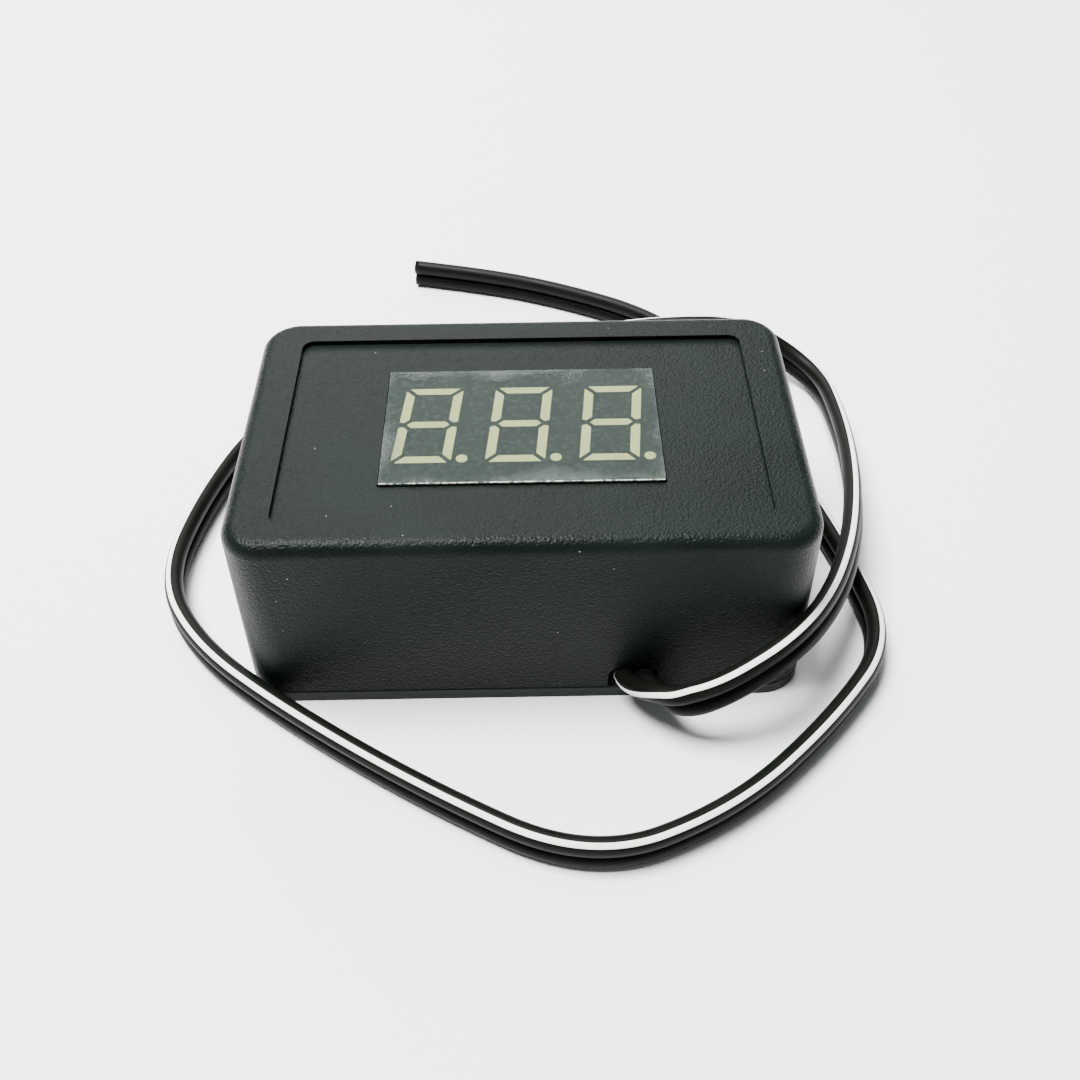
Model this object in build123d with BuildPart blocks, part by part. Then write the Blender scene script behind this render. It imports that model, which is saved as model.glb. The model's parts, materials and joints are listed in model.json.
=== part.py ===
from build123d import *
import os
from math import pi, radians, sqrt, tan

# A small boxed battery voltmeter: a moulded case with a three-digit display in its top,
# a flat base plate, one circuit board hung from the top, and a thin twin lead.
# Millimetres. The origin is the middle of the base, +Z is up, and the lead leaves at -Y.

# Case
case_length = 46.5
case_width = 29.5
case_height = 18.0
case_corner_radius = 3.5
case_top_edge_radius = 1.2
case_draft = 0.86
wall_thickness = 1.6
top_thickness = 2.0
base_thickness = 1.3
base_edge_chamfer = 0.18
recess_length = 38.6
recess_width = 23.0
recess_depth = 0.45
recess_corner_radius = 1.0
recess_offset_y = -0.2

# Base plate rim and the screws that hold the plate on
rim_height = 1.4
rim_thickness = 1.0
rim_clearance = 0.15
screw_post_radius = 2.2
screw_post_overlap = 0.5
screw_core_radius = 0.8
screw_length = 7.0
screw_head_radius = 1.75
screw_head_countersink = 0.9
screw_head_taper = 45.0
screw_head_sink = 0.1
screw_hole_clearance = 0.2
screw_core_clearance = 0.05
screw_slot_length = 2.2
screw_slot_width = 0.4
screw_slot_depth = 0.5

# Display module
display_length = 22.6
display_width = 14.2
display_depth = 7.0
display_offset_y = -0.2
display_rise = 0.25
display_gap = 0.1
display_wall = 0.6
display_edge_chamfer = 0.12
film_thickness = 0.12
carrier_thickness = 0.8
carrier_pocket_depth = 1.0
fit_clearance = 0.05

# Digits
digit_pitch = 7.55
digit_height = 9.45
digit_width = 4.85
digit_offset_x = -0.15
digit_offset_y = 0.15
digit_slant = 5.0
segment_width = 0.81
segment_gap = 0.34
segment_tip_share = 0.3
segment_corner_radius = 0.07
point_radius = 0.48
point_step_x = 0.83
cast_clearance = 0.02
die_size = 0.3
die_height = 0.15
die_cover = 0.25

# Display pins
pin_pitch = 2.54
pin_row_spacing = 10.16
pins_per_row = 6
pin_radius = 0.25
pin_hole_radius = 0.45
pin_tail = 0.9
solder_radius = 0.65
solder_height = 0.55
solder_taper = 28.0
solder_clearance = 0.01

# Circuit board and its two screws
board_length = 33.0
board_width = 20.0
board_thickness = 1.2
board_corner_radius = 0.8
board_gap = 0.2
board_hole_radius = 0.95
board_screw_x = 14.2
standoff_radius = 1.7
board_screw_core_radius = 0.6
board_screw_length = 4.2
board_screw_head_radius = 1.4
board_screw_head_height = 0.9
board_screw_slot_depth = 0.4
board_screw_slot_width = 0.35

# Parts under the board: (x, y) of each middle, then length, width and height
part_standoff = 0.08
lead_foot = 0.6
lead_thickness = 0.2
chip_place = (0.9, -0.7)
chip_size = (9.8, 3.9, 1.45)
chip_lead_count = 8
chip_lead_pitch = 1.27
chip_lead_width = 0.4
chip_lead_reach = 1.05
chip_dimple_radius = 0.45
chip_dimple_depth = 0.15
regulator_place = (10.3, 0.4)
regulator_size = (4.5, 2.5, 1.5)
regulator_tab_width = 1.7
regulator_lead_pitch = 1.5
diode_place = (11.4, -3.9)
diode_size = (4.3, 2.6, 2.0)
diode_terminal_width = 1.5
tantalum_place = (10.6, 4.2)
tantalum_size = (3.2, 1.6, 1.6)
ceramic_places = [(-12.9, 4.2), (-12.9, 6.6), (13.4, 6.8)]
ceramic_size = (2.0, 1.25, 0.9)
resistor_row_y = 7.4
resistor_pitch = 2.3
resistor_count = 8
resistor_size = (1.25, 2.0, 0.5)
component_edge = 0.12

# Calibration trimmer: the one piece that turns
trimmer_place = (-8.6, -0.7)
trimmer_side = 4.6
trimmer_height = 2.3
trimmer_lip = 0.6
trimmer_head_radius = 1.2
trimmer_head_rise = 0.15
trimmer_flange_radius = 1.65
trimmer_flange_height = 0.5
trimmer_hub_radius = 0.8
trimmer_running_gap = 0.06
trimmer_element_side = 3.8
trimmer_element_height = 0.5
trimmer_slot_width = 0.4
trimmer_slot_length = 1.8
trimmer_slot_depth = 0.4
trimmer_lead_width = 0.7

# Twin lead: a flat flex of two cores, lying on its edge outside the case
core_diameter = 1.6
cord_width = 2 * core_diameter
core_pitch = 1.7
core_clearance = 0.02
conductor_radius = 0.35
conductor_reach = 0.6
cord_exit_x = 8.9
cord_notch_width = 4.2
cord_notch_height = 2.35
cord_notch_corner = 1.0
cord_start_lean = 28.5
cord_bend_share = 0.45
core_height = base_thickness + core_diameter / 2 + 0.55
core_rise_y = -8.6
core_bend_radius = 2.0
core_strip_length = 0.8
glue_length = 2.0
glue_side = 0.7
glue_inset = 0.25

# The lead's route along the surface that the case stands on, exit first. It rises twice,
# to pass over its own later stretch at the right and behind the case.
cord_route = [
    (8.5, -14.95, 2.6),
    (8.7, -16.6, 2.5),
    (10.9, -17.6, 2.0),
    (15.2, -17.3, 2.8),
    (20.8, -16.9, 5.4),
    (25.7, -12.4, 7.4),
    (27.9, -5.4, 8.0),
    (30.3, 2.6, 8.0),
    (32.3, 10.6, 4.4),
    (32.7, 18.4, 1.75),
    (31.6, 25.4, 1.65),
    (28.2, 29.6, 4.0),
    (23.2, 30.8, 8.0),
    (16.0, 31.6, 8.0),
    (6.6, 33.0, 4.2),
    (-6.0, 32.6, 1.65),
    (-18.6, 28.0, 1.65),
    (-27.2, 18.6, 1.65),
    (-31.0, 7.6, 1.65),
    (-32.3, -2.8, 1.65),
    (-28.0, -10.4, 1.65),
    (-19.8, -17.2, 1.65),
    (-8.0, -25.1, 1.65),
    (4.6, -31.8, 1.65),
    (15.8, -27.4, 1.65),
    (24.8, -19.2, 1.65),
    (30.9, -11.2, 1.65),
    (29.2, -1.0, 1.65),
    (26.6, 8.6, 1.65),
    (25.4, 17.6, 1.65),
    (21.6, 27.4, 1.65),
    (14.4, 36.8, 1.65),
    (4.0, 42.4, 1.65),
    (-5.0, 45.6, 1.65),
    (-12.6, 47.3, 1.65),
]

# Heights that the pieces share
recess_floor = case_height - recess_depth
ceiling = case_height - top_thickness
display_top = recess_floor + display_rise
display_back = display_top - display_depth
housing_top = display_top - film_thickness
carrier_top = display_back + carrier_pocket_depth
board_top = display_back - board_gap
board_bottom = board_top - board_thickness
component_top = board_bottom - part_standoff

# Places that the pieces share
inner_length = case_length - 2 * wall_thickness
inner_width = case_width - 2 * wall_thickness
post_reach = screw_post_radius - screw_post_overlap
post_x = inner_length / 2 - post_reach
post_y = inner_width / 2 - post_reach
screw_hole_radius = screw_core_radius + screw_core_clearance
screw_pass_radius = screw_core_radius + screw_hole_clearance
board_screw_hole_radius = board_screw_core_radius + screw_core_clearance
front_wall = -case_width / 2
core_places = [cord_exit_x - core_pitch / 2, cord_exit_x + core_pitch / 2]
pin_places = GridLocations(pin_pitch, pin_row_spacing, pins_per_row, 2)

os.makedirs("parts", exist_ok=True)


def write_part(builder, name):
    builder.part.label = name
    export_step(builder.part, f"parts/{name}.step")


def slanted(points):
    # Leans an outline to the right about its middle height.
    lean = tan(radians(digit_slant))
    return [(x + lean * y, y) for x, y in points]


def segment_outlines():
    # The seven bars of a digit, each mitred at 45 degrees with an even gap to the next.
    half_width = digit_width / 2
    half_height = digit_height / 2
    half_bar = segment_width / 2
    inset = segment_gap / sqrt(2)
    top = [
        (-half_width + inset, half_height),
        (half_width - inset, half_height),
        (half_width - inset - segment_width, half_height - segment_width),
        (-half_width + inset + segment_width, half_height - segment_width),
    ]
    middle = [
        (-half_width + half_bar + inset, 0),
        (-half_width + 2 * half_bar + inset, half_bar),
        (half_width - 2 * half_bar - inset, half_bar),
        (half_width - half_bar - inset, 0),
        (half_width - 2 * half_bar - inset, -half_bar),
        (-half_width + 2 * half_bar + inset, -half_bar),
    ]
    upper_left = [
        (-half_width, half_height - inset),
        (-half_width + segment_width, half_height - inset - segment_width),
        (-half_width + segment_width, half_bar + inset),
        (-half_width + half_bar, inset),
        (-half_width, inset + half_bar * segment_tip_share),
    ]
    upper_right = [(-x, y) for x, y in upper_left]
    bottom = [(x, -y) for x, y in top]
    lower_left = [(x, -y) for x, y in upper_left]
    lower_right = [(-x, -y) for x, y in upper_left]
    bars = [top, middle, upper_left, upper_right, bottom, lower_left, lower_right]
    return [slanted(bar) for bar in bars]


def bar_middle(bar):
    return (sum(x for x, y in bar) / len(bar), sum(y for x, y in bar) / len(bar))


def digit_centre(number):
    return (digit_offset_x + (number - 2) * digit_pitch, display_offset_y + digit_offset_y)


def point_centre():
    lean = tan(radians(digit_slant))
    height = -digit_height / 2 + point_radius
    return (digit_width / 2 + point_step_x + lean * height, height)


def draw_digit(growth):
    # Adds one digit's bars and its point to the sketch being drawn.
    for bar in segment_outlines():
        with BuildSketch(mode=Mode.PRIVATE) as outline:
            Polygon(*bar, align=None)
            fillet(outline.vertices(), radius=segment_corner_radius)
            offset(amount=growth)
        add(outline.sketch)
    with Locations(point_centre()):
        Circle(point_radius + growth)


def corner_radii(route):
    # Each arc is as large as its two runs allow.
    radii = []
    for before, corner, after in zip(route, route[1:], route[2:]):
        run_in = Vector(*corner) - Vector(*before)
        run_out = Vector(*after) - Vector(*corner)
        half_turn = radians(run_in.get_angle(run_out) / 2)
        radii.append(cord_bend_share * min(run_in.length, run_out.length) / tan(half_turn))
    return radii


# Case shell: a drafted box with a label recess, a display window, posts and a lead notch
with BuildPart() as case_shell:
    with BuildSketch(Plane.XY.offset(base_thickness)):
        RectangleRounded(case_length, case_width, case_corner_radius)
    extrude(amount=case_height - base_thickness, taper=case_draft)
    fillet(case_shell.edges().group_by(Axis.Z)[-1], radius=case_top_edge_radius)
    with BuildSketch(Plane.XY.offset(base_thickness)):
        RectangleRounded(inner_length, inner_width, case_corner_radius - wall_thickness)
    extrude(amount=ceiling - base_thickness, taper=case_draft, mode=Mode.SUBTRACT)
    with BuildSketch(Plane.XY.offset(base_thickness)):
        with GridLocations(2 * post_x, 2 * post_y, 2, 2):
            Circle(screw_post_radius)
    extrude(amount=ceiling - base_thickness)
    with BuildSketch(Plane.XY.offset(board_top)):
        with Locations((-board_screw_x, display_offset_y), (board_screw_x, display_offset_y)):
            Circle(standoff_radius)
    extrude(amount=ceiling - board_top)
    with BuildSketch(Plane.XY.offset(recess_floor)):
        with Locations((0, recess_offset_y)):
            RectangleRounded(recess_length, recess_width, recess_corner_radius)
    extrude(amount=recess_depth, mode=Mode.SUBTRACT)
    with BuildSketch(Plane.XY.offset(ceiling)):
        with Locations((0, display_offset_y)):
            Rectangle(display_length + 2 * display_gap, display_width + 2 * display_gap)
    extrude(amount=top_thickness, mode=Mode.SUBTRACT)
    with BuildSketch(Plane.XY.offset(base_thickness)):
        with GridLocations(2 * post_x, 2 * post_y, 2, 2):
            Circle(screw_hole_radius)
    extrude(amount=screw_length, mode=Mode.SUBTRACT)
    with BuildSketch(Plane.XY.offset(board_top)):
        with Locations((-board_screw_x, display_offset_y), (board_screw_x, display_offset_y)):
            Circle(board_screw_hole_radius)
    extrude(amount=board_screw_length, mode=Mode.SUBTRACT)
    with BuildSketch(Plane.XZ.offset(wall_thickness - front_wall)):
        with Locations((cord_exit_x, base_thickness)):
            RectangleRounded(cord_notch_width, 2 * cord_notch_height, cord_notch_corner)
    extrude(amount=-3 * wall_thickness, mode=Mode.SUBTRACT)
write_part(case_shell, "case_shell")

# Base plate: countersunk at its corners, with a rim that centres it in the shell
with BuildPart() as base_plate:
    with BuildSketch():
        RectangleRounded(case_length, case_width, case_corner_radius)
    extrude(amount=base_thickness)
    chamfer(base_plate.edges().group_by(Axis.Z)[-1], length=base_edge_chamfer)
    with BuildSketch(Plane.XY.offset(base_thickness)):
        rim_length = inner_length - 2 * rim_clearance
        rim_width = inner_width - 2 * rim_clearance
        RectangleRounded(rim_length, rim_width, case_corner_radius - wall_thickness)
        Rectangle(rim_length - 2 * rim_thickness, rim_width - 2 * rim_thickness, mode=Mode.SUBTRACT)
        with GridLocations(2 * post_x, 2 * post_y, 2, 2):
            Circle(screw_post_radius + rim_clearance, mode=Mode.SUBTRACT)
        with Locations((cord_exit_x, front_wall + wall_thickness + rim_thickness / 2)):
            Rectangle(cord_notch_width + 2 * glue_side, 3 * rim_thickness, mode=Mode.SUBTRACT)
    extrude(amount=rim_height, taper=case_draft)
    with Locations(Plane.XY.rotated((180, 0, 0))):
        with GridLocations(2 * post_x, 2 * post_y, 2, 2):
            CounterSinkHole(
                radius=screw_pass_radius,
                counter_sink_radius=screw_head_radius + screw_hole_clearance,
                depth=base_thickness,
            )
write_part(base_plate, "base_plate")

# Base screws: four countersunk self-tapping screws, heads down
with BuildPart() as base_screws:
    head_plane = Plane.XY.offset(screw_head_sink)
    with BuildSketch(head_plane):
        with GridLocations(2 * post_x, 2 * post_y, 2, 2):
            Circle(screw_head_radius)
    extrude(amount=screw_head_countersink, taper=screw_head_taper)
    with BuildSketch(head_plane):
        with GridLocations(2 * post_x, 2 * post_y, 2, 2):
            Circle(screw_core_radius)
    extrude(amount=screw_length - screw_head_sink)
    with BuildSketch(head_plane):
        with GridLocations(2 * post_x, 2 * post_y, 2, 2):
            Rectangle(screw_slot_length, screw_slot_width)
            Rectangle(screw_slot_width, screw_slot_length)
    extrude(amount=screw_slot_depth, mode=Mode.SUBTRACT)
write_part(base_screws, "base_screws")

# Display housing: the block with a hole behind each bar and point, and a pocket at its back
with BuildPart() as display_housing:
    with BuildSketch(Plane.XY.offset(display_back)):
        with Locations((0, display_offset_y)):
            Rectangle(display_length, display_width)
    extrude(amount=housing_top - display_back)
    chamfer(display_housing.edges().filter_by(Axis.Z), length=display_edge_chamfer)
    with BuildSketch(Plane.XY.offset(display_back)):
        with Locations((0, display_offset_y)):
            Rectangle(display_length - 2 * display_wall, display_width - 2 * display_wall)
    extrude(amount=carrier_pocket_depth, mode=Mode.SUBTRACT)
    with BuildSketch(Plane.XY.offset(carrier_top)):
        with Locations(*[digit_centre(number) for number in (1, 2, 3)]):
            draw_digit(0)
    extrude(amount=housing_top - carrier_top, mode=Mode.SUBTRACT)
write_part(display_housing, "display_housing")

# Digit segments: the clear resin cast in the holes, one node for each digit
for number in (1, 2, 3):
    with BuildPart() as digit_segments:
        with BuildSketch(Plane.XY.offset(carrier_top + die_height + die_cover)):
            with Locations(digit_centre(number)):
                draw_digit(-cast_clearance)
        extrude(amount=housing_top - carrier_top - die_height - die_cover)
    write_part(digit_segments, f"digit_{number}_segments")

# Face film: the clear film over the display's face
with BuildPart() as face_film:
    with BuildSketch(Plane.XY.offset(housing_top)):
        with Locations((0, display_offset_y)):
            Rectangle(display_length, display_width)
    extrude(amount=film_thickness)
    chamfer(face_film.edges().filter_by(Axis.Z), length=display_edge_chamfer)
write_part(face_film, "face_film")

# LED carrier: the thin board in the housing's back that the dies sit on
with BuildPart() as led_carrier:
    with BuildSketch(Plane.XY.offset(carrier_top - carrier_thickness)):
        with Locations((0, display_offset_y)):
            pocket_clearance = 2 * (display_wall + fit_clearance)
            Rectangle(display_length - pocket_clearance, display_width - pocket_clearance)
    extrude(amount=carrier_thickness)
write_part(led_carrier, "led_carrier")

# LED dies: one behind each bar and point
with BuildPart() as led_dies:
    with BuildSketch(Plane.XY.offset(carrier_top)):
        with Locations(*[digit_centre(number) for number in (1, 2, 3)]):
            with Locations(point_centre(), *[bar_middle(bar) for bar in segment_outlines()]):
                Rectangle(die_size, die_size)
    extrude(amount=die_height)
write_part(led_dies, "led_dies")

# Display pins: two rows that go down through the circuit board
with BuildPart() as display_pins:
    pin_foot = board_bottom - pin_tail
    with BuildSketch(Plane.XY.offset(pin_foot)):
        with Locations((0, display_offset_y)):
            with pin_places:
                Circle(pin_radius)
    extrude(amount=carrier_top - carrier_thickness - pin_foot)
write_part(display_pins, "display_pins")

# Circuit board
with BuildPart() as circuit_board:
    with BuildSketch(Plane.XY.offset(board_bottom)):
        with Locations((0, display_offset_y)):
            RectangleRounded(board_length, board_width, board_corner_radius)
            with pin_places:
                Circle(pin_hole_radius, mode=Mode.SUBTRACT)
            with Locations((-board_screw_x, 0), (board_screw_x, 0)):
                Circle(board_hole_radius, mode=Mode.SUBTRACT)
        with Locations(*[(core_x, core_rise_y) for core_x in core_places]):
            Circle(conductor_radius + fit_clearance, mode=Mode.SUBTRACT)
    extrude(amount=board_thickness)
write_part(circuit_board, "circuit_board")

# Board screws: two pan heads up into the shell's standoffs
with BuildPart() as board_screws:
    board_screw_places = [(-board_screw_x, display_offset_y), (board_screw_x, display_offset_y)]
    with BuildSketch(Plane.XY.offset(board_bottom - board_screw_head_height)):
        with Locations(*board_screw_places):
            Circle(board_screw_head_radius)
    extrude(amount=board_screw_head_height)
    fillet(board_screws.edges().group_by(Axis.Z)[0], radius=board_screw_head_height / 2)
    with BuildSketch(Plane.XY.offset(board_bottom)):
        with Locations(*board_screw_places):
            Circle(board_screw_core_radius)
    extrude(amount=board_thickness + board_screw_length - fit_clearance)
    with BuildSketch(Plane.XY.offset(board_bottom - board_screw_head_height)):
        with Locations(*board_screw_places):
            Rectangle(board_screw_head_radius, board_screw_slot_width)
            Rectangle(board_screw_slot_width, board_screw_head_radius)
    extrude(amount=board_screw_slot_depth, mode=Mode.SUBTRACT)
write_part(board_screws, "board_screws")

# Solder joints: a cone round each pin and each conductor, under or over the board
with BuildPart() as solder_joints:
    with BuildSketch(Plane.XY.offset(board_bottom)):
        with Locations((0, display_offset_y)):
            with pin_places:
                Circle(solder_radius)
    extrude(amount=-solder_height, taper=solder_taper)
    with BuildSketch(Plane.XY.offset(board_bottom)):
        with Locations((0, display_offset_y)):
            with pin_places:
                Circle(pin_radius + solder_clearance)
    extrude(amount=-solder_height, mode=Mode.SUBTRACT)
    with BuildSketch(Plane.XY.offset(board_top)):
        with Locations(*[(core_x, core_rise_y) for core_x in core_places]):
            Circle(solder_radius)
            Circle(conductor_radius + solder_clearance, mode=Mode.SUBTRACT)
    extrude(amount=solder_height)
write_part(solder_joints, "solder_joints")


def component(place, size):
    # Adds a component's plain body, hanging just under the board.
    x, y = place
    with Locations((x, y, component_top)):
        Box(*size, align=(Align.CENTER, Align.CENTER, Align.MAX))


# Controller chip and its leads
with BuildPart() as controller_chip:
    component(chip_place, chip_size)
    chamfer(controller_chip.edges().group_by(Axis.Z)[0], length=component_edge)
    with BuildSketch(Plane.XY.offset(component_top - chip_size[2])):
        with Locations((chip_place[0] - chip_size[0] / 2 + 1, chip_place[1] - chip_size[1] / 2 + 1)):
            Circle(chip_dimple_radius)
    extrude(amount=chip_dimple_depth, mode=Mode.SUBTRACT)
write_part(controller_chip, "controller_chip")

with BuildPart() as controller_leads:
    shoulder = component_top - chip_size[2] / 2
    half_lead = lead_thickness / 2
    for side in (-1, 1):
        body_edge = chip_place[1] + side * chip_size[1] / 2
        knee = body_edge + side * (chip_lead_reach - lead_foot)
        toe = body_edge + side * chip_lead_reach
        first_x = chip_place[0] - (chip_lead_count - 1) / 2 * chip_lead_pitch
        for position in range(chip_lead_count):
            lead_x = first_x + position * chip_lead_pitch
            with BuildSketch(Plane.YZ.offset(lead_x)):
                with BuildLine():
                    Polyline(
                        (body_edge, shoulder - half_lead),
                        (knee + side * half_lead, shoulder - half_lead),
                        (knee + side * half_lead, board_bottom - lead_thickness),
                        (toe, board_bottom - lead_thickness),
                        (toe, board_bottom),
                        (knee - side * half_lead, board_bottom),
                        (knee - side * half_lead, shoulder + half_lead),
                        (body_edge, shoulder + half_lead),
                        close=True,
                    )
                make_face()
            extrude(amount=chip_lead_width / 2, both=True)
write_part(controller_leads, "controller_leads")

# Voltage regulator, its tab and its leads
with BuildPart() as voltage_regulator:
    component(regulator_place, regulator_size)
    chamfer(voltage_regulator.edges().group_by(Axis.Z)[0], length=component_edge)
write_part(voltage_regulator, "voltage_regulator")

with BuildPart() as regulator_leads:
    regulator_x, regulator_y = regulator_place
    back_edge = regulator_y + regulator_size[1] / 2
    front_edge = regulator_y - regulator_size[1] / 2
    with BuildSketch(Plane.XY.offset(board_bottom)):
        with Locations((regulator_x, back_edge + lead_foot / 2 + fit_clearance)):
            Rectangle(regulator_tab_width, lead_foot)
        for position in (-1, 0, 1):
            foot_x = regulator_x + position * regulator_lead_pitch
            with Locations((foot_x, front_edge - lead_foot / 2 - fit_clearance)):
                Rectangle(chip_lead_width, lead_foot)
    extrude(amount=-2 * lead_thickness)
write_part(regulator_leads, "regulator_leads")

# Reverse-polarity diode and its two wrapped terminals
with BuildPart() as protection_diode:
    component(diode_place, diode_size)
    chamfer(protection_diode.edges().group_by(Axis.Z)[0], length=component_edge)
write_part(protection_diode, "protection_diode")

with BuildPart() as diode_terminals:
    for side in (-1, 1):
        terminal_x = diode_place[0] + side * (diode_size[0] / 2 + lead_thickness / 2 + fit_clearance)
        with BuildSketch(Plane.XY.offset(board_bottom)):
            with Locations((terminal_x, diode_place[1])):
                Rectangle(lead_thickness, diode_terminal_width)
        extrude(amount=-diode_size[2] / 2)
write_part(diode_terminals, "diode_terminals")

# Capacitors and the row of resistors
with BuildPart() as tantalum_capacitor:
    component(tantalum_place, tantalum_size)
    chamfer(tantalum_capacitor.edges().group_by(Axis.Z)[0], length=component_edge)
write_part(tantalum_capacitor, "tantalum_capacitor")

with BuildPart() as ceramic_capacitors:
    for place in ceramic_places:
        component(place, ceramic_size)
write_part(ceramic_capacitors, "ceramic_capacitors")

with BuildPart() as chip_resistors:
    for position in range(resistor_count):
        resistor_x = (position - (resistor_count - 1) / 2) * resistor_pitch
        component((resistor_x, resistor_row_y), resistor_size)
write_part(chip_resistors, "chip_resistors")

# Trimmer body: a block with a stepped bore that opens downwards
trimmer_top = component_top
trimmer_foot = trimmer_top - trimmer_height
lip_top = trimmer_foot + trimmer_lip
element_bottom = trimmer_top - trimmer_element_height
trimmer_bore_radius = trimmer_flange_radius + 2 * trimmer_running_gap
with BuildPart() as trimmer_body:
    with BuildSketch(Plane.XY.offset(trimmer_foot)):
        with Locations(trimmer_place):
            Rectangle(trimmer_side, trimmer_side)
    extrude(amount=trimmer_height)
    chamfer(trimmer_body.edges().filter_by(Axis.Z), length=component_edge)
    with BuildSketch(Plane.XY.offset(trimmer_foot)):
        with Locations(trimmer_place):
            Circle(trimmer_head_radius + trimmer_running_gap)
    extrude(amount=trimmer_lip, mode=Mode.SUBTRACT)
    with BuildSketch(Plane.XY.offset(lip_top)):
        with Locations(trimmer_place):
            Circle(trimmer_bore_radius)
    extrude(amount=element_bottom - lip_top, mode=Mode.SUBTRACT)
    with BuildSketch(Plane.XY.offset(element_bottom)):
        with Locations(trimmer_place):
            Rectangle(trimmer_element_side, trimmer_element_side)
    extrude(amount=trimmer_element_height, mode=Mode.SUBTRACT)
write_part(trimmer_body, "trimmer_body")

# Trimmer element: the ceramic plate that carries the resistive track
with BuildPart() as trimmer_element:
    with BuildSketch(Plane.XY.offset(element_bottom + fit_clearance)):
        with Locations(trimmer_place):
            element_side = trimmer_element_side - 2 * fit_clearance
            Rectangle(element_side, element_side)
    extrude(amount=trimmer_element_height - fit_clearance)
write_part(trimmer_element, "trimmer_element")

# Trimmer rotor: a slotted head, a flange behind the lip and a hub that carries the wiper
with BuildPart() as trimmer_rotor:
    head_face = trimmer_foot - trimmer_head_rise
    flange_bottom = lip_top + trimmer_running_gap
    flange_top = flange_bottom + trimmer_flange_height
    with BuildSketch(Plane.XY.offset(head_face)):
        with Locations(trimmer_place):
            Circle(trimmer_head_radius)
    extrude(amount=flange_bottom - head_face)
    with BuildSketch(Plane.XY.offset(flange_bottom)):
        with Locations(trimmer_place):
            Circle(trimmer_flange_radius)
    extrude(amount=trimmer_flange_height)
    with BuildSketch(Plane.XY.offset(flange_top)):
        with Locations(trimmer_place):
            Circle(trimmer_hub_radius)
    extrude(amount=element_bottom - trimmer_running_gap - flange_top)
    with BuildSketch(Plane.XY.offset(head_face)):
        with Locations(trimmer_place):
            Rectangle(trimmer_slot_length, trimmer_slot_width)
            Rectangle(trimmer_slot_width, trimmer_slot_length)
    extrude(amount=trimmer_slot_depth, mode=Mode.SUBTRACT)
write_part(trimmer_rotor, "trimmer_rotor")

with BuildPart() as trimmer_leads:
    trimmer_x, trimmer_y = trimmer_place
    lead_y = trimmer_side / 2 + lead_foot / 2 + fit_clearance
    with BuildSketch(Plane.XY.offset(board_bottom)):
        with Locations(
            (trimmer_x, trimmer_y + lead_y),
            (trimmer_x - trimmer_side / 4, trimmer_y - lead_y),
            (trimmer_x + trimmer_side / 4, trimmer_y - lead_y),
        ):
            Rectangle(trimmer_lead_width, lead_foot)
    extrude(amount=-2 * lead_thickness)
write_part(trimmer_leads, "trimmer_leads")

# Inner cores: the flex's two insulated cores, from the notch to the board
core_end = board_bottom - core_strip_length
for core_name, core_x in zip(("core_positive", "core_negative"), core_places):
    with BuildPart() as inner_core:
        with BuildLine() as core_path:
            FilletPolyline(
                (core_x, front_wall, core_height),
                (core_x, core_rise_y, core_height),
                (core_x, core_rise_y, core_end),
                radius=core_bend_radius,
            )
        with BuildSketch(Plane.XZ.offset(-front_wall)):
            with Locations((core_x, core_height)):
                Circle(core_diameter / 2)
        sweep(path=core_path.wires()[0])
    write_part(inner_core, core_name)

# Stripped conductors: from each core's end up through the board
for conductor_name, core_x in zip(("conductor_positive", "conductor_negative"), core_places):
    with BuildPart() as conductor:
        with BuildSketch(Plane.XY.offset(core_end)):
            with Locations((core_x, core_rise_y)):
                Circle(conductor_radius)
        extrude(amount=board_top + conductor_reach - core_end)
    write_part(conductor, conductor_name)

# Glue block: the hot-melt that grips both cores just inside the notch
with BuildPart() as glue_block:
    glue_front = front_wall + wall_thickness + glue_inset
    glue_back = glue_front + glue_length
    with BuildSketch(Plane.XY.offset(base_thickness)):
        with Locations((cord_exit_x, (glue_front + glue_back) / 2)):
            glue_width = core_pitch + core_diameter + 2 * glue_side
            Rectangle(glue_width, glue_length)
    extrude(amount=core_height + core_diameter / 2 + glue_side - base_thickness)
    fillet(glue_block.edges().group_by(Axis.Z)[-1], radius=glue_side / 2)
    with BuildSketch(Plane.XZ.offset(-glue_front)):
        with Locations(*[(core_x, core_height) for core_x in core_places]):
            Circle(core_diameter / 2 + core_clearance)
    extrude(amount=-glue_length, mode=Mode.SUBTRACT)
write_part(glue_block, "glue_block")

# Twin lead outside the case: one plain flat tube. It leans where it leaves the notch, and the
# two rises turn it upright, so that it stands on its edge where it lies down.
cord_radii = corner_radii(cord_route)
with BuildPart() as twin_lead:
    with BuildLine() as cord_path:
        FilletPolyline(*cord_route, radius=cord_radii)
    cord_wire = cord_path.wires()[0]
    with BuildSketch(Plane(origin=cord_wire @ 0, x_dir=(0, 0, 1), z_dir=cord_wire % 0)):
        SlotOverall(cord_width, core_diameter, rotation=cord_start_lean)
    sweep(path=cord_wire)
write_part(twin_lead, "twin_lead")

cord_section = pi * core_diameter**2 / 4 + core_diameter * (cord_width - core_diameter)
print("lead length", round(cord_wire.length, 1))
print("lead radii", [round(radius, 1) for radius in cord_radii])
print("lead volume over section times length", twin_lead.part.volume / (cord_section * cord_wire.length))
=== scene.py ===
import json
from math import cos, pi, radians, sin

import bmesh
import bpy
from mathutils import Matrix, Vector


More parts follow.
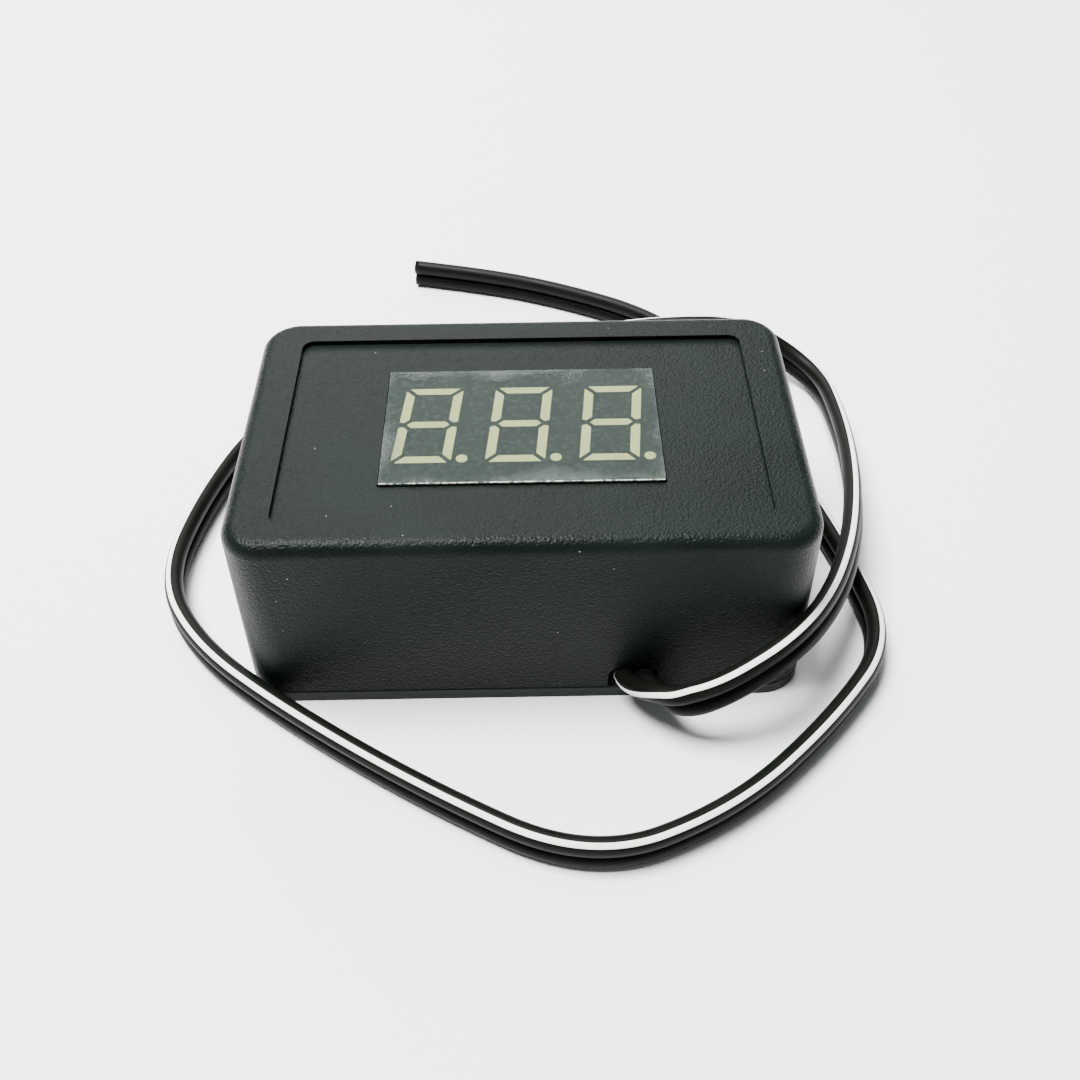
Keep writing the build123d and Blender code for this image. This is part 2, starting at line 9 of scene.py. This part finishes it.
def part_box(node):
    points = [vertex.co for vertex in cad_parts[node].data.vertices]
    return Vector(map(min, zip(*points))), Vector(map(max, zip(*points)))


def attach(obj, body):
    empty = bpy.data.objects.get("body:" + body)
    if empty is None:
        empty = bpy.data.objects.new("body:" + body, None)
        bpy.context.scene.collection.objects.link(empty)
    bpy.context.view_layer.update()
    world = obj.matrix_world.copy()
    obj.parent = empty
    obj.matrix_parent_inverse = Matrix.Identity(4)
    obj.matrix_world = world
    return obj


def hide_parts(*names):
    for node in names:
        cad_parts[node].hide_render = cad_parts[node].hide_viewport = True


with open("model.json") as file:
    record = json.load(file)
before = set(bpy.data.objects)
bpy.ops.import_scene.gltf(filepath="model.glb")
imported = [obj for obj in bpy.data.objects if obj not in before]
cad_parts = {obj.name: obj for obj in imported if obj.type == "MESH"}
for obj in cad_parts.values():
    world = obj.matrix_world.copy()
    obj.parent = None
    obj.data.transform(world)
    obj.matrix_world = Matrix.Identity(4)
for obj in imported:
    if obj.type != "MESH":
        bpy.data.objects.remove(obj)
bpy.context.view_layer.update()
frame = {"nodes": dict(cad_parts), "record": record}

mm = 0.001

cameraView = dict(place=(1.0, -77.3, 82.34), azimuth=0.29, tilt=45.43, roll=-0.74, lens=40.53, sensor=36,
                  nearest=5)  # mm and degrees


def addCamera():
    camera = bpy.data.objects.new("camera", bpy.data.cameras.new("camera"))
    bpy.context.scene.collection.objects.link(camera)
    camera.data.lens = cameraView["lens"]
    camera.data.sensor_width = cameraView["sensor"]
    camera.data.clip_start = cameraView["nearest"] * mm
    turn = Matrix.Rotation(radians(-cameraView["azimuth"]), 4, "Z")
    turn @= Matrix.Rotation(radians(90 - cameraView["tilt"]), 4, "X")
    turn @= Matrix.Rotation(radians(cameraView["roll"]), 4, "Z")
    camera.matrix_world = Matrix.Translation(Vector(cameraView["place"]) * mm) @ turn
    bpy.context.scene.camera = camera


# square lamps, each turned to the object, and an even glow from all round
lightPlan = dict(
    back=dict(place=(-40, 360, 330), size=380, watts=3.3),
    above=dict(place=(-160, 30, 520), size=240, watts=13.3),
)
glow = dict(colour=(0.93, 0.97, 1.0), strength=0.22)


def addLights():
    for name, plan in lightPlan.items():
        light = bpy.data.objects.new(name, bpy.data.lights.new(name, "AREA"))
        bpy.context.scene.collection.objects.link(light)
        light.data.size = plan["size"] * mm
        light.data.energy = plan["watts"]
        place = Vector(plan["place"]) * mm
        light.matrix_world = Matrix.Translation(place) @ place.to_track_quat("Z", "Y").to_matrix().to_4x4()
    world = bpy.data.worlds.new("studio")
    world.use_nodes = True
    background = world.node_tree.nodes["Background"]
    background.inputs["Color"].default_value = (*glow["colour"], 1)
    background.inputs["Strength"].default_value = glow["strength"]
    bpy.context.scene.world = world


floorLook = dict(reach=1500, colour=(0.93, 0.93, 0.93), rough=0.9, shine=0.1)


def addFloor():
    mesh = bpy.data.meshes.new("floor")
    bm = bmesh.new()
    bmesh.ops.create_grid(bm, x_segments=1, y_segments=1, size=floorLook["reach"] * mm)
    bm.to_mesh(mesh)
    bm.free()
    floor = bpy.data.objects.new("floor", mesh)
    bpy.context.scene.collection.objects.link(floor)
    paint = bpy.data.materials.new("floorPaint")
    paint.use_nodes = True
    shader = paint.node_tree.nodes["Principled BSDF"]
    shader.inputs["Base Color"].default_value = (*floorLook["colour"], 1)
    shader.inputs["Roughness"].default_value = floorLook["rough"]
    shader.inputs["Specular IOR Level"].default_value = floorLook["shine"]
    mesh.materials.append(paint)


addCamera()
addLights()
addFloor()
print("camera, lights and floor are in place")


def newGroup(name, sockets):
    # a shader node group with named sockets, to be used in several finishes
    group = bpy.data.node_groups.new(name, "ShaderNodeTree")
    for label, side, kind, value in sockets:
        socket = group.interface.new_socket(label, in_out=side, socket_type=kind)
        if value is not None:
            socket.default_value = value
    return group


def addNode(tree, kind, values=None, **settings):
    # a value may be a plain number or colour, or another node's output
    node = tree.nodes.new(kind)
    for key, value in settings.items():
        setattr(node, key, value)
    for key, value in (values or {}).items():
        if isinstance(value, bpy.types.NodeSocket):
            tree.links.new(value, node.inputs[key])
        else:
            node.inputs[key].default_value = value
    return node


def makeGrainGroup():
    # fine pebbled mould texture with a softer mottle over it
    group = newGroup("mouldGrain", [
        ("Size", "INPUT", "NodeSocketFloat", 0.25),
        ("Mottle", "INPUT", "NodeSocketFloat", 6.0),
        ("Height", "OUTPUT", "NodeSocketFloat", None),
        ("Tone", "OUTPUT", "NodeSocketFloat", None),
    ])
    inside = addNode(group, "NodeGroupInput")
    outside = addNode(group, "NodeGroupOutput")
    place = addNode(group, "ShaderNodeTexCoord")
    perMetre = addNode(group, "ShaderNodeMath", {0: 1000.0, 1: inside.outputs["Size"]}, operation="DIVIDE")
    mottle = addNode(group, "ShaderNodeMath", {0: 1000.0, 1: inside.outputs["Mottle"]}, operation="DIVIDE")
    pebbles = addNode(group, "ShaderNodeTexVoronoi", {
        "Vector": place.outputs["Object"], "Scale": perMetre.outputs[0]}, feature="SMOOTH_F1")
    fuzz = addNode(group, "ShaderNodeTexNoise", {
        "Vector": place.outputs["Object"], "Scale": perMetre.outputs[0], "Detail": 3.0})
    wide = addNode(group, "ShaderNodeTexNoise", {
        "Vector": place.outputs["Object"], "Scale": mottle.outputs[0], "Detail": 4.0})
    height = addNode(group, "ShaderNodeMath", {
        0: pebbles.outputs["Distance"], 1: -0.7, 2: fuzz.outputs["Fac"]}, operation="MULTIPLY_ADD")
    group.links.new(height.outputs[0], outside.inputs["Height"])
    group.links.new(wide.outputs["Fac"], outside.inputs["Tone"])
    return group


def makeDustGroup():
    # scattered specks: one in a few cells of a coarse pattern holds one
    group = newGroup("dustSpecks", [
        ("Spacing", "INPUT", "NodeSocketFloat", 1.3),
        ("Share", "INPUT", "NodeSocketFloat", 0.35),
        ("Size", "INPUT", "NodeSocketFloat", 0.045),
        ("Mask", "OUTPUT", "NodeSocketFloat", None),
    ])
    inside = addNode(group, "NodeGroupInput")
    outside = addNode(group, "NodeGroupOutput")
    place = addNode(group, "ShaderNodeTexCoord")
    perMetre = addNode(group, "ShaderNodeMath", {
        0: 1000.0, 1: inside.outputs["Spacing"]}, operation="DIVIDE")
    cells = addNode(group, "ShaderNodeTexVoronoi", {
        "Vector": place.outputs["Object"], "Scale": perMetre.outputs[0]})
    chosen = addNode(group, "ShaderNodeSeparateColor", {"Color": cells.outputs["Color"]})
    picked = addNode(group, "ShaderNodeMath", {
        0: chosen.outputs["Red"], 1: inside.outputs["Share"]}, operation="LESS_THAN")
    reach = addNode(group, "ShaderNodeMath", {
        0: chosen.outputs["Green"], 1: inside.outputs["Size"]}, operation="MULTIPLY")
    near = addNode(group, "ShaderNodeMath", {
        0: cells.outputs["Distance"], 1: reach.outputs[0]}, operation="LESS_THAN")
    both = addNode(group, "ShaderNodeMath", {
        0: picked.outputs[0], 1: near.outputs[0]}, operation="MULTIPLY")
    group.links.new(both.outputs[0], outside.inputs["Mask"])
    return group


grainGroup = makeGrainGroup()
dustGroup = makeDustGroup()


def startMaterial(name):
    material = bpy.data.materials.new(name)
    material.use_nodes = True
    tree = material.node_tree
    return material, tree, tree.nodes["Principled BSDF"]


def mixColours(tree, share, first, second):
    mix = addNode(tree, "ShaderNodeMix", data_type="RGBA")
    tree.links.new(share, mix.inputs["Factor"])
    for slot, colour in (("A", first), ("B", second)):
        socket = [s for s in mix.inputs if s.name == slot and s.type == "RGBA"][0]
        if isinstance(colour, bpy.types.NodeSocket):
            tree.links.new(colour, socket)
        else:
            socket.default_value = (*colour, 1)
    return [s for s in mix.outputs if s.type == "RGBA"][0]


def spread(tree, value, low, high):
    # stretches a value from 0..1 noise to a chosen range
    node = addNode(tree, "ShaderNodeMapRange", {
        "Value": value, "From Min": 0.3, "From Max": 0.7, "To Min": low, "To Max": high})
    return node.outputs["Result"]


bumpDepth = 0.1 * mm
dustColour = (0.32, 0.32, 0.29)

# base colours, roughness range, and the grain, its bump and the mottle's size in mm
plainFinishes = {
    "case_plastic": dict(dark=(0.0030, 0.0052, 0.0040), light=(0.0050, 0.0080, 0.0063), rough=(0.28, 0.38),
                         grain=0.2, bump=0.6, mottle=7.0, dust=0.5, shine=0.06),
    "base_plastic": dict(dark=(0.0066, 0.0104, 0.0082), light=(0.0104, 0.0146, 0.0120), rough=(0.40, 0.50),
                         grain=0.24, bump=0.3, mottle=8.0, dust=0.6, shine=0.12),
    "screw_steel": dict(dark=(0.10, 0.10, 0.10), light=(0.22, 0.22, 0.21), rough=(0.3, 0.5), metal=1.0,
                        grain=0.12, bump=0.15, mottle=1.2),
    "display_plastic": dict(dark=(0.0092, 0.0145, 0.0115), light=(0.0156, 0.0230, 0.0194), rough=(0.2, 0.3),
                            grain=0.5, bump=0.02, mottle=0.45, shine=0.05),
    "laminate_white": dict(dark=(0.50, 0.50, 0.42), light=(0.64, 0.63, 0.55), rough=(0.5, 0.6),
                           grain=0.3, bump=0.1, mottle=2.0),
    "led_chip": dict(dark=(0.65, 0.58, 0.25), light=(0.82, 0.76, 0.4), rough=(0.2, 0.3),
                     grain=0.1, bump=0.05, mottle=0.5),
    "tinned_pin": dict(dark=(0.55, 0.54, 0.50), light=(0.74, 0.73, 0.69), rough=(0.25, 0.4), metal=1.0,
                       grain=0.15, bump=0.1, mottle=0.8),
    "board_laminate": dict(dark=(0.010, 0.085, 0.030), light=(0.022, 0.15, 0.052), rough=(0.25, 0.35),
                           grain=0.4, bump=0.06, mottle=3.0),
    "solder": dict(dark=(0.58, 0.59, 0.60), light=(0.80, 0.81, 0.82), rough=(0.15, 0.3), metal=1.0,
                   grain=0.3, bump=0.12, mottle=0.8),
    "chip_epoxy": dict(dark=(0.012, 0.012, 0.013), light=(0.026, 0.026, 0.028), rough=(0.45, 0.6),
                       grain=0.12, bump=0.2, mottle=1.5),
    "lead_frame": dict(dark=(0.52, 0.52, 0.49), light=(0.74, 0.74, 0.71), rough=(0.25, 0.4), metal=1.0,
                       grain=0.12, bump=0.1, mottle=0.6),
    "tantalum_yellow": dict(dark=(0.55, 0.30, 0.04), light=(0.72, 0.44, 0.07), rough=(0.4, 0.5),
                            grain=0.15, bump=0.12, mottle=1.0),
    "capacitor_ceramic": dict(dark=(0.36, 0.25, 0.15), light=(0.50, 0.37, 0.24), rough=(0.4, 0.5),
                              grain=0.12, bump=0.12, mottle=0.8),
    "resistor_ceramic": dict(dark=(0.018, 0.018, 0.022), light=(0.045, 0.045, 0.05), rough=(0.25, 0.35),
                             grain=0.12, bump=0.08, mottle=0.8),
    "trimmer_plastic": dict(dark=(0.012, 0.06, 0.26), light=(0.02, 0.10, 0.38), rough=(0.25, 0.35),
                            grain=0.2, bump=0.06, mottle=1.5),
    "trimmer_ceramic": dict(dark=(0.70, 0.68, 0.62), light=(0.84, 0.82, 0.77), rough=(0.45, 0.55),
                            grain=0.15, bump=0.08, mottle=1.0),
    "rotor_brass": dict(dark=(0.48, 0.33, 0.12), light=(0.72, 0.54, 0.26), rough=(0.22, 0.4), metal=1.0,
                        grain=0.12, bump=0.1, mottle=0.7),
    "core_pvc": dict(dark=(0.016, 0.017, 0.017), light=(0.026, 0.028, 0.027), rough=(0.3, 0.4),
                     grain=0.3, bump=0.08, mottle=2.0),
    "copper_tinned": dict(dark=(0.55, 0.26, 0.14), light=(0.80, 0.46, 0.30), rough=(0.25, 0.4), metal=1.0,
                          grain=0.1, bump=0.15, mottle=0.5),
    "hot_glue": dict(dark=(0.55, 0.50, 0.36), light=(0.70, 0.65, 0.50), rough=(0.3, 0.45),
                     grain=0.6, bump=0.15, mottle=1.5),
}


def makePlainFinish(name, finish):
    material, tree, shader = startMaterial(name)
    grain = addNode(tree, "ShaderNodeGroup", node_tree=grainGroup)
    grain.inputs["Size"].default_value = finish["grain"]
    grain.inputs["Mottle"].default_value = finish["mottle"]
    tone = grain.outputs["Tone"]
    colour = mixColours(tree, spread(tree, tone, 0, 1), finish["dark"], finish["light"])
    if "dust" in finish:
        dust = addNode(tree, "ShaderNodeGroup", node_tree=dustGroup)
        dust.inputs["Share"].default_value = finish["dust"]
        colour = mixColours(tree, dust.outputs["Mask"], colour, dustColour)
    tree.links.new(colour, shader.inputs["Base Color"])
    low, high = finish["rough"]
    tree.links.new(spread(tree, tone, low, high), shader.inputs["Roughness"])
    bump = addNode(tree, "ShaderNodeBump", {
        "Height": grain.outputs["Height"], "Strength": finish["bump"], "Distance": bumpDepth})
    tree.links.new(bump.outputs["Normal"], shader.inputs["Normal"])
    shader.inputs["Metallic"].default_value = finish.get("metal", 0.0)
    shader.inputs["Specular IOR Level"].default_value = finish.get("shine", 0.5)
    return material


materials = {name: makePlainFinish(name, finish) for name, finish in plainFinishes.items()}


resinLook = dict(dark=(0.146, 0.180, 0.044), light=(0.170, 0.206, 0.057), rough=0.3,
                 grain=0.35, bump=0.04, mottle=3.0)


def makeResin():
    # pale cast resin in the display's bars
    material, tree, shader = startMaterial("segment_resin")
    grain = addNode(tree, "ShaderNodeGroup", node_tree=grainGroup)
    grain.inputs["Size"].default_value = resinLook["grain"]
    grain.inputs["Mottle"].default_value = resinLook["mottle"]
    tone = spread(tree, grain.outputs["Tone"], 0, 1)
    colour = mixColours(tree, tone, resinLook["dark"], resinLook["light"])
    tree.links.new(colour, shader.inputs["Base Color"])
    bump = addNode(tree, "ShaderNodeBump", {
        "Height": grain.outputs["Height"], "Strength": resinLook["bump"], "Distance": bumpDepth})
    tree.links.new(bump.outputs["Normal"], shader.inputs["Normal"])
    shader.inputs["Roughness"].default_value = resinLook["rough"]
    return material


# two of these settings give the width in mm and the colour of the painted highlight along the film's front
# edge
filmLook = dict(veil=0.03, haze=0.42, ragged=6.0, hazeFrom=-3.8, hazeTo=-1.7, patch=5.5, speck=0.35,
                paintedHighlightWidth=0.07, rough=0.15, shine=0.12, dim=(0.085, 0.105, 0.093), pale=(0.13, 0.155, 0.14),
                paintedHighlightColour=(0.62, 0.66, 0.56))


def makeFilm():
    # clear film: a thin veil, patches of haze along the edges of the face, and a painted highlight along
    # the front edge
    material, tree, shader = startMaterial("face_film")
    low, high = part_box("face_film")
    middle = (low + high) / 2
    half = (high - low) / 2
    place = addNode(tree, "ShaderNodeTexCoord")
    offset = addNode(tree, "ShaderNodeVectorMath", {
        0: place.outputs["Object"], 1: tuple(-middle)}, operation="ADD")
    sides = addNode(tree, "ShaderNodeSeparateXYZ", {"Vector": offset.outputs[0]})
    patches = addNode(tree, "ShaderNodeTexNoise", {
        "Vector": place.outputs["Object"], "Scale": 1000 / filmLook["patch"], "Detail": 4.0,
        "Roughness": 0.6})
    specks = addNode(tree, "ShaderNodeTexNoise", {
        "Vector": place.outputs["Object"], "Scale": 1000 / filmLook["speck"], "Detail": 2.0})
    margins = []
    for axis in (0, 1):
        out = addNode(tree, "ShaderNodeMath", {0: sides.outputs[axis]}, operation="ABSOLUTE")
        margins.append(addNode(tree, "ShaderNodeMath", {
            0: half[axis], 1: out.outputs[0]}, operation="SUBTRACT"))
    nearest = addNode(tree, "ShaderNodeMath", {
        0: margins[0].outputs[0], 1: margins[1].outputs[0]}, operation="MINIMUM")
    ragged = addNode(tree, "ShaderNodeMath", {
        0: patches.outputs["Fac"], 1: -filmLook["ragged"] * mm,
        2: nearest.outputs[0]}, operation="MULTIPLY_ADD")
    band = addNode(tree, "ShaderNodeMapRange", {
        "Value": ragged.outputs[0],
        "From Min": filmLook["hazeFrom"] * mm, "From Max": filmLook["hazeTo"] * mm,
        "To Min": filmLook["haze"], "To Max": filmLook["veil"]}, interpolation_type="SMOOTHSTEP")
    broken = addNode(tree, "ShaderNodeMath", {
        0: band.outputs["Result"], 1: spread(tree, specks.outputs["Fac"], 0.7, 1.3)}, operation="MULTIPLY")
    # painted highlight: a pale, speckled band along the front edge, painted into the colour and cover where
    # light would catch that edge
    edge = addNode(tree, "ShaderNodeMath", {
        0: sides.outputs[1], 1: -half[1] + filmLook["paintedHighlightWidth"] * mm}, operation="LESS_THAN")
    paintedHighlight = addNode(tree, "ShaderNodeMath", {
        0: edge.outputs[0],
        1: spread(tree, specks.outputs["Fac"], 0.0, 1.6)}, operation="MULTIPLY", use_clamp=True)
    cover = addNode(tree, "ShaderNodeMath", {0: broken.outputs[0], 1: paintedHighlight.outputs[0]}, operation="MAXIMUM")
    tree.links.new(cover.outputs[0], shader.inputs["Alpha"])
    tint = mixColours(tree, specks.outputs["Fac"], filmLook["dim"], filmLook["pale"])
    tint = mixColours(tree, paintedHighlight.outputs[0], tint, filmLook["paintedHighlightColour"])
    tree.links.new(tint, shader.inputs["Base Color"])
    shader.inputs["Roughness"].default_value = filmLook["rough"]
    shader.inputs["Specular IOR Level"].default_value = filmLook["shine"]
    return material


flexLook = dict(black=(0.0022, 0.0029, 0.0020), worn=(0.0042, 0.0050, 0.0038), white=(0.88, 0.90, 0.84),
                stripeFrom=0.95, stripeTo=0.963, shine=0.06, rough=(0.38, 0.5), grain=0.3, bump=0.08,
                mottle=4.0)


def makeFlex():
    # black PVC with one printed stripe, which the piece's own attribute places
    material, tree, shader = startMaterial("lead_pvc")
    grain = addNode(tree, "ShaderNodeGroup", node_tree=grainGroup)
    grain.inputs["Size"].default_value = flexLook["grain"]
    grain.inputs["Mottle"].default_value = flexLook["mottle"]
    black = mixColours(tree, spread(tree, grain.outputs["Tone"], 0, 1), flexLook["black"], flexLook["worn"])
    nearStripe = addNode(tree, "ShaderNodeAttribute", attribute_name="nearStripe")
    stripe = addNode(tree, "ShaderNodeMapRange", {
        "Value": nearStripe.outputs["Fac"],
        "From Min": flexLook["stripeFrom"], "From Max": flexLook["stripeTo"]})
    colour = mixColours(tree, stripe.outputs["Result"], black, flexLook["white"])
    tree.links.new(colour, shader.inputs["Base Color"])
    tree.links.new(spread(tree, grain.outputs["Tone"], *flexLook["rough"]), shader.inputs["Roughness"])
    shader.inputs["Specular IOR Level"].default_value = flexLook["shine"]
    bump = addNode(tree, "ShaderNodeBump", {
        "Height": grain.outputs["Height"], "Strength": flexLook["bump"], "Distance": bumpDepth})
    tree.links.new(bump.outputs["Normal"], shader.inputs["Normal"])
    return material


materials["segment_resin"] = makeResin()
materials["face_film"] = makeFilm()
materials["lead_pvc"] = makeFlex()

for part in frame["record"]["subparts"]:
    skin = frame["nodes"][part["node"]].data
    skin.materials.clear()
    skin.materials.append(materials[part["material_slot"]])
print("every node of the frame has its finish")

# the lead's section in mm and degrees; each turn pairs a distance along the lead with an angle
flex = dict(coreRadius=0.81, corePitch=1.52, sides=40, stripeTurn=27, step=0.3,
            turns=((0.4, 76), (7.5, -6), (28, -15), (66, 0)))
flexRoute = [
    (8.85, -14.77, 2.7),
    (8.8, -15.15, 2.8),
    (10.8, -17.65, 3.75),
    (12.45, -19.0, 4.35),
    (16.1, -18.95, 6.3),
    (20.9, -17.05, 8.8),
    (24.95, -11.95, 8.0),
    (28.05, -5.05, 7.05),
    (30.15, 2.95, 5.7),
    (31.35, 11.0, 4.15),
    (31.75, 18.4, 2.75),
    (31.5, 24.6, 1.8),
    (28.6, 28.4, 2.6),
    (23.2, 29.8, 5.2),
    (16.0, 30.2, 5.2),
    (6.6, 32.2, 2.6),
    (-6.0, 32.6, 1.62),
    (-18.6, 28.0, 1.62),
    (-27.2, 18.6, 1.62),
    (-31.0, 7.6, 1.62),
    (-32.3, -2.8, 1.62),
    (-28.0, -10.4, 1.62),
    (-19.8, -17.2, 1.62),
    (-8.0, -25.1, 1.62),
    (4.6, -31.8, 1.62),
    (15.8, -27.4, 1.62),
    (24.8, -19.2, 1.62),
    (30.9, -11.2, 1.62),
    (29.2, -1.0, 1.62),
    (26.6, 8.6, 1.62),
    (25.4, 17.6, 1.62),
    (21.6, 27.4, 1.62),
    (14.4, 36.8, 1.62),
    (4.0, 42.4, 1.62),
    (-5.0, 45.6, 1.62),
    (-12.6, 47.3, 1.62),
]


def readSpline(route):
    # the smooth line that the route controls, as evenly close points
    curve = bpy.data.curves.new("flexLine", "CURVE")
    curve.dimensions = "3D"
    spline = curve.splines.new("NURBS")
    spline.points.add(len(route) - 1)
    for point, place in zip(spline.points, route):
        point.co = (*(Vector(place) * mm), 1)
    spline.order_u = 3
    spline.use_endpoint_u = True
    spline.resolution_u = 24
    holder = bpy.data.objects.new("flexLine", curve)
    bpy.context.scene.collection.objects.link(holder)
    bpy.context.view_layer.update()
    line = bpy.data.meshes.new_from_object(holder.evaluated_get(bpy.context.evaluated_depsgraph_get()))
    points = [vertex.co.copy() for vertex in line.vertices]
    bpy.data.objects.remove(holder)
    bpy.data.curves.remove(curve)
    bpy.data.meshes.remove(line)
    return points


def evenPoints(points, step):
    # keeps points at least a step apart, with both ends
    kept = [points[0]]
    for point in points[1:-1]:
        if (point - kept[-1]).length >= step:
            kept.append(point)
    kept.append(points[-1])
    return kept


def flexTurn(travelled):
    # the section lies flat in the notch, turns up on its edge, and leans to the case at the corner
    degrees = flex["turns"][0][1]
    for (begin, old), (end, new) in zip(flex["turns"], flex["turns"][1:]):
        share = min(max((travelled / mm - begin) / (end - begin), 0), 1)
        degrees += (new - old) * share * share * (3 - 2 * share)
    return radians(degrees)


def flexFrame(points, index, travelled):
    before = points[max(index - 1, 0)]
    after = points[min(index + 1, len(points) - 1)]
    ahead = (after - before).normalized()
    outward = ahead.cross(Vector((0, 0, 1))).normalized()
    upward = outward.cross(ahead)
    turn = flexTurn(travelled)
    side = outward * cos(turn) - upward * sin(turn)
    rise = upward * cos(turn) + outward * sin(turn)
    pose = Matrix((side, rise, ahead)).transposed().to_4x4()
    return Matrix.Translation(points[index]) @ pose


def makeFlexLead():
    points = evenPoints(readSpline(flexRoute), flex["step"] * mm)
    bm = bmesh.new()
    nearStripe = bm.verts.layers.float.new("nearStripe")
    radius = flex["coreRadius"] * mm
    half = flex["corePitch"] / 2 * mm
    # one core's outline, cut at the web, and its mirror image below
    bmesh.ops.create_circle(bm, segments=flex["sides"], radius=radius)
    bmesh.ops.translate(bm, verts=bm.verts, vec=(0, half, 0))
    everything = list(bm.verts) + list(bm.edges)
    bmesh.ops.bisect_plane(bm, geom=everything, plane_co=(0, 0, 0), plane_no=(0, 1, 0), clear_inner=True)
    everything = list(bm.verts) + list(bm.edges)
    bmesh.ops.mirror(bm, geom=everything, merge_dist=radius * 0.01, axis="Y")
    bmesh.ops.remove_doubles(bm, verts=bm.verts, dist=radius * 0.01)
    stripeWay = Vector((sin(radians(flex["stripeTurn"])), cos(radians(flex["stripeTurn"])), 0))
    for vertex in bm.verts:
        out = (vertex.co - Vector((0, half, 0))) / radius
        vertex[nearStripe] = out.dot(stripeWay) if vertex.co.y > 0 else -1
    ring = list(bm.edges)
    verts = list(bm.verts)
    bmesh.ops.contextual_create(bm, geom=ring)
    travelled = 0.0
    pose = flexFrame(points, 0, 0.0)
    bmesh.ops.transform(bm, matrix=pose, verts=verts)
    for index in range(1, len(points)):
        travelled += (points[index] - points[index - 1]).length
        nextPose = flexFrame(points, index, travelled)
        grown = bmesh.ops.extrude_edge_only(bm, edges=ring)["geom"]
        verts = [item for item in grown if isinstance(item, bmesh.types.BMVert)]
        ring = [item for item in grown if isinstance(item, bmesh.types.BMEdge)]
        bmesh.ops.transform(bm, matrix=nextPose @ pose.inverted(), verts=verts)
        pose = nextPose
    bmesh.ops.contextual_create(bm, geom=ring)
    bmesh.ops.recalc_face_normals(bm, faces=bm.faces)
    for face in bm.faces:
        face.smooth = len(face.verts) == 4
    mesh = bpy.data.meshes.new("flexLead")
    bm.to_mesh(mesh)
    bm.free()
    mesh.materials.append(materials["lead_pvc"])
    lead = bpy.data.objects.new("flexLead", mesh)
    bpy.context.scene.collection.objects.link(lead)
    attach(lead, "meter")
    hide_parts("twin_lead")
    return lead, points, pose, travelled


flexLead, flexPoints, endPose, flexLength = makeFlexLead()
print("twin lead is", round(flexLength / mm, 1), "mm long")

strands = dict(radius=0.12, sides=12, ring=6, ringRadius=0.25, proud=0.06, depth=0.4)


def makeStrands():
    # bare copper in the cut end: one strand in the middle of each core and a ring round it
    bm = bmesh.new()
    half = flex["corePitch"] / 2
    for core in (-half, half):
        spots = [(0, 0)]
        for number in range(strands["ring"]):
            angle = 2 * pi * number / strands["ring"]
            spots.append((strands["ringRadius"] * cos(angle), strands["ringRadius"] * sin(angle)))
        for x, y in spots:
            made = bmesh.ops.create_cone(
                bm, cap_ends=True, segments=strands["sides"],
                radius1=strands["radius"] * mm, radius2=strands["radius"] * mm,
                depth=(strands["depth"] + strands["proud"]) * mm)
            middle = (strands["proud"] - strands["depth"]) / 2
            bmesh.ops.translate(bm, verts=made["verts"], vec=Vector((x, y + core, middle)) * mm)
    bmesh.ops.transform(bm, matrix=endPose, verts=bm.verts)
    mesh = bpy.data.meshes.new("copperStrands")
    bm.to_mesh(mesh)
    bm.free()
    mesh.materials.append(materials["copper_tinned"])
    copper = bpy.data.objects.new("copperStrands", mesh)
    bpy.context.scene.collection.objects.link(copper)
    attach(copper, "meter")
    return copper


copperStrands = makeStrands()
print("copper ends are in place")
